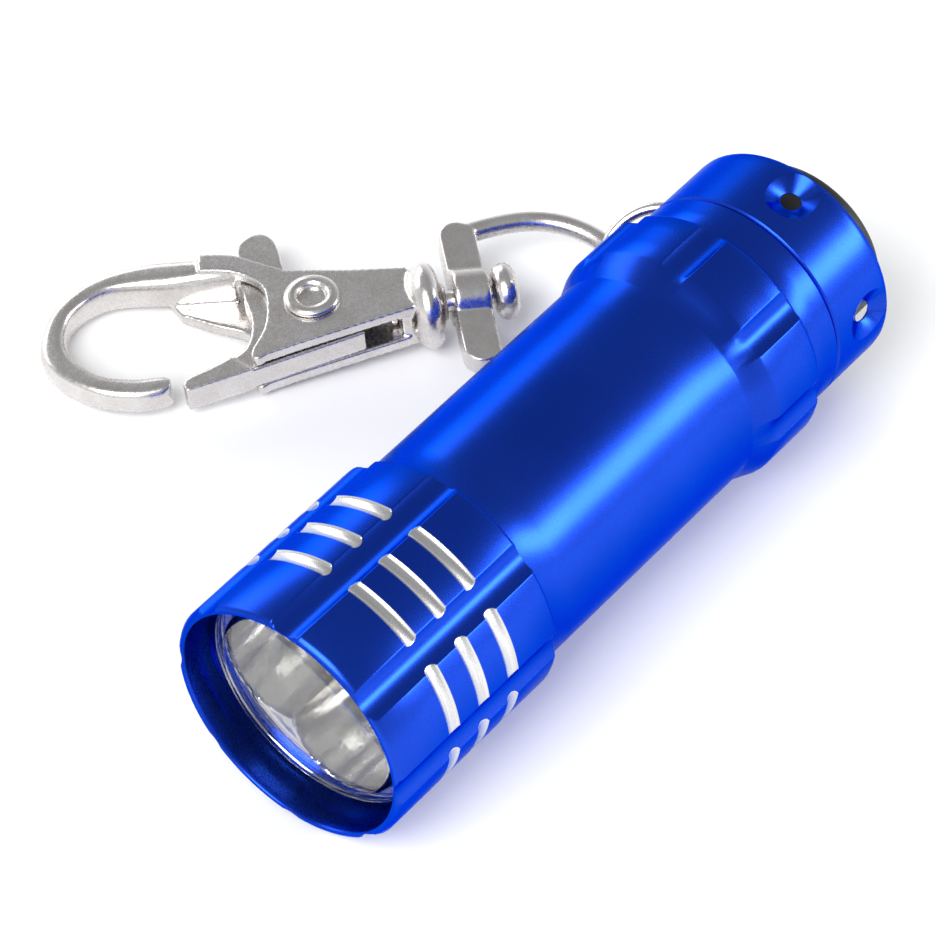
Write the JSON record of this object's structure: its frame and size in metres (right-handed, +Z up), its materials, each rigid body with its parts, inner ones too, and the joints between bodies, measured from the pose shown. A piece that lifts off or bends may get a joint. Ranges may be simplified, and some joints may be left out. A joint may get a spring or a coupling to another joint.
{
  "type": "keychain flashlight",
  "caption": "Small round metal flashlight with a fluted head, a push button in its tail cap, a key ring and a swivelling snap clip.",
  "frame": {"origin": "centre of the bottom of the bounding box, on the surface the light lies on", "axes": "+X along the light from its lens to its push button, +Z up from the surface, +Y toward the snap clip"},
  "size_m": [0.0606, 0.054, 0.0198],
  "materials": {
    "blue_anodised": "bright blue anodised, bare metal in the head's grooves",
    "clear_lens": "clear moulded acrylic",
    "bright_reflector": "vacuum-metallised plastic",
    "led_epoxy": "clear epoxy over a yellow phosphor",
    "circuit_board": "green circuit board",
    "resistor_body": "black chip resistor",
    "spring_steel": "plain steel wire",
    "white_plastic": "white moulded plastic",
    "cell_steel": "bright nickel-plated can",
    "black_rubber": "matt black silicone",
    "black_plastic": "black moulded plastic",
    "polished_nickel": "polished nickel plate on zinc and steel"
  },
  "bodies": {
    "light_body": {"body_tube": "blue_anodised", "lens": "clear_lens", "reflector": "bright_reflector", "led_1": "led_epoxy", "led_2": "led_epoxy", "led_3": "led_epoxy", "led_board": "circuit_board", "resistor": "resistor_body", "front_contact_spring": "spring_steel", "battery_sleeve": "white_plastic", "cell_1": "cell_steel", "cell_2": "cell_steel", "cell_3": "cell_steel", "cell_4": "cell_steel"},
    "seal_carrier": {"tail_seal": "black_rubber"},
    "tail_cap": {"tail_cap": "blue_anodised", "switch_housing": "black_plastic", "retaining_ring": "spring_steel", "tail_contact_spring": "spring_steel", "switch_spring": "spring_steel", "button_boot": "black_rubber"},
    "plunger": {"plunger": "white_plastic"},
    "key_ring": {"key_ring": "polished_nickel"},
    "swivel_eye": {"swivel_eye": "polished_nickel"},
    "clip": {"clip_body": "polished_nickel", "swivel_pin": "polished_nickel", "trigger_rivet": "polished_nickel", "trigger_spring": "spring_steel"},
    "trigger": {"trigger": "polished_nickel"}
  },
  "joints": [
    {"name": "tail_cap_travel", "type": "slide", "parent": "light_body", "child": "seal_carrier", "axis": [1, 0, 0], "range_m": [0, 0.005]},
    {"name": "tail_cap_turn", "type": "hinge", "parent": "seal_carrier", "child": "tail_cap", "pos_m": [0, -0.01713, 0.00992], "axis": [1, 0, 0], "range_deg": [0, 1800]},
    {"name": "button_press", "type": "slide", "parent": "tail_cap", "child": "plunger", "axis": [-1, 0, 0], "range_m": [0, 0.0012], "stiffness_N_per_m": 1500, "springref_m": -0.0005, "deforming": ["switch_spring", "button_boot"]},
    {"name": "key_ring_swing", "type": "hinge", "parent": "tail_cap", "child": "key_ring", "pos_m": [0.0256, -0.01093, 0.00392], "axis": [0, 0.719, -0.695], "range_deg": [0, 50]},
    {"name": "eye_swing", "type": "hinge", "parent": "key_ring", "child": "swivel_eye", "pos_m": [0.02394, -0.00356, 0.00428], "axis": [-0.3519, -0.8545, 0.382], "range_deg": [-28, 40]},
    {"name": "clip_swivel", "type": "hinge", "parent": "swivel_eye", "child": "clip", "pos_m": [0.014, 0.00222, 0.00392], "axis": [-0.7464, 0.6604, -0.0819], "continuous": true},
    {"name": "trigger_pull", "type": "hinge", "parent": "clip", "child": "trigger", "pos_m": [0.00579, 0.01069, 0.00295], "axis": [0.0614, -0.0543, -0.9966], "range_deg": [0, 22], "stiffness_Nm_per_rad": 0.006, "springref_deg": -20.05, "deforming": ["trigger_spring"]}
  ],
  "couplings": [
    {"joint": "tail_cap_travel", "follows": "tail_cap_turn", "m_per_rad": 0.00015915}
  ]
}
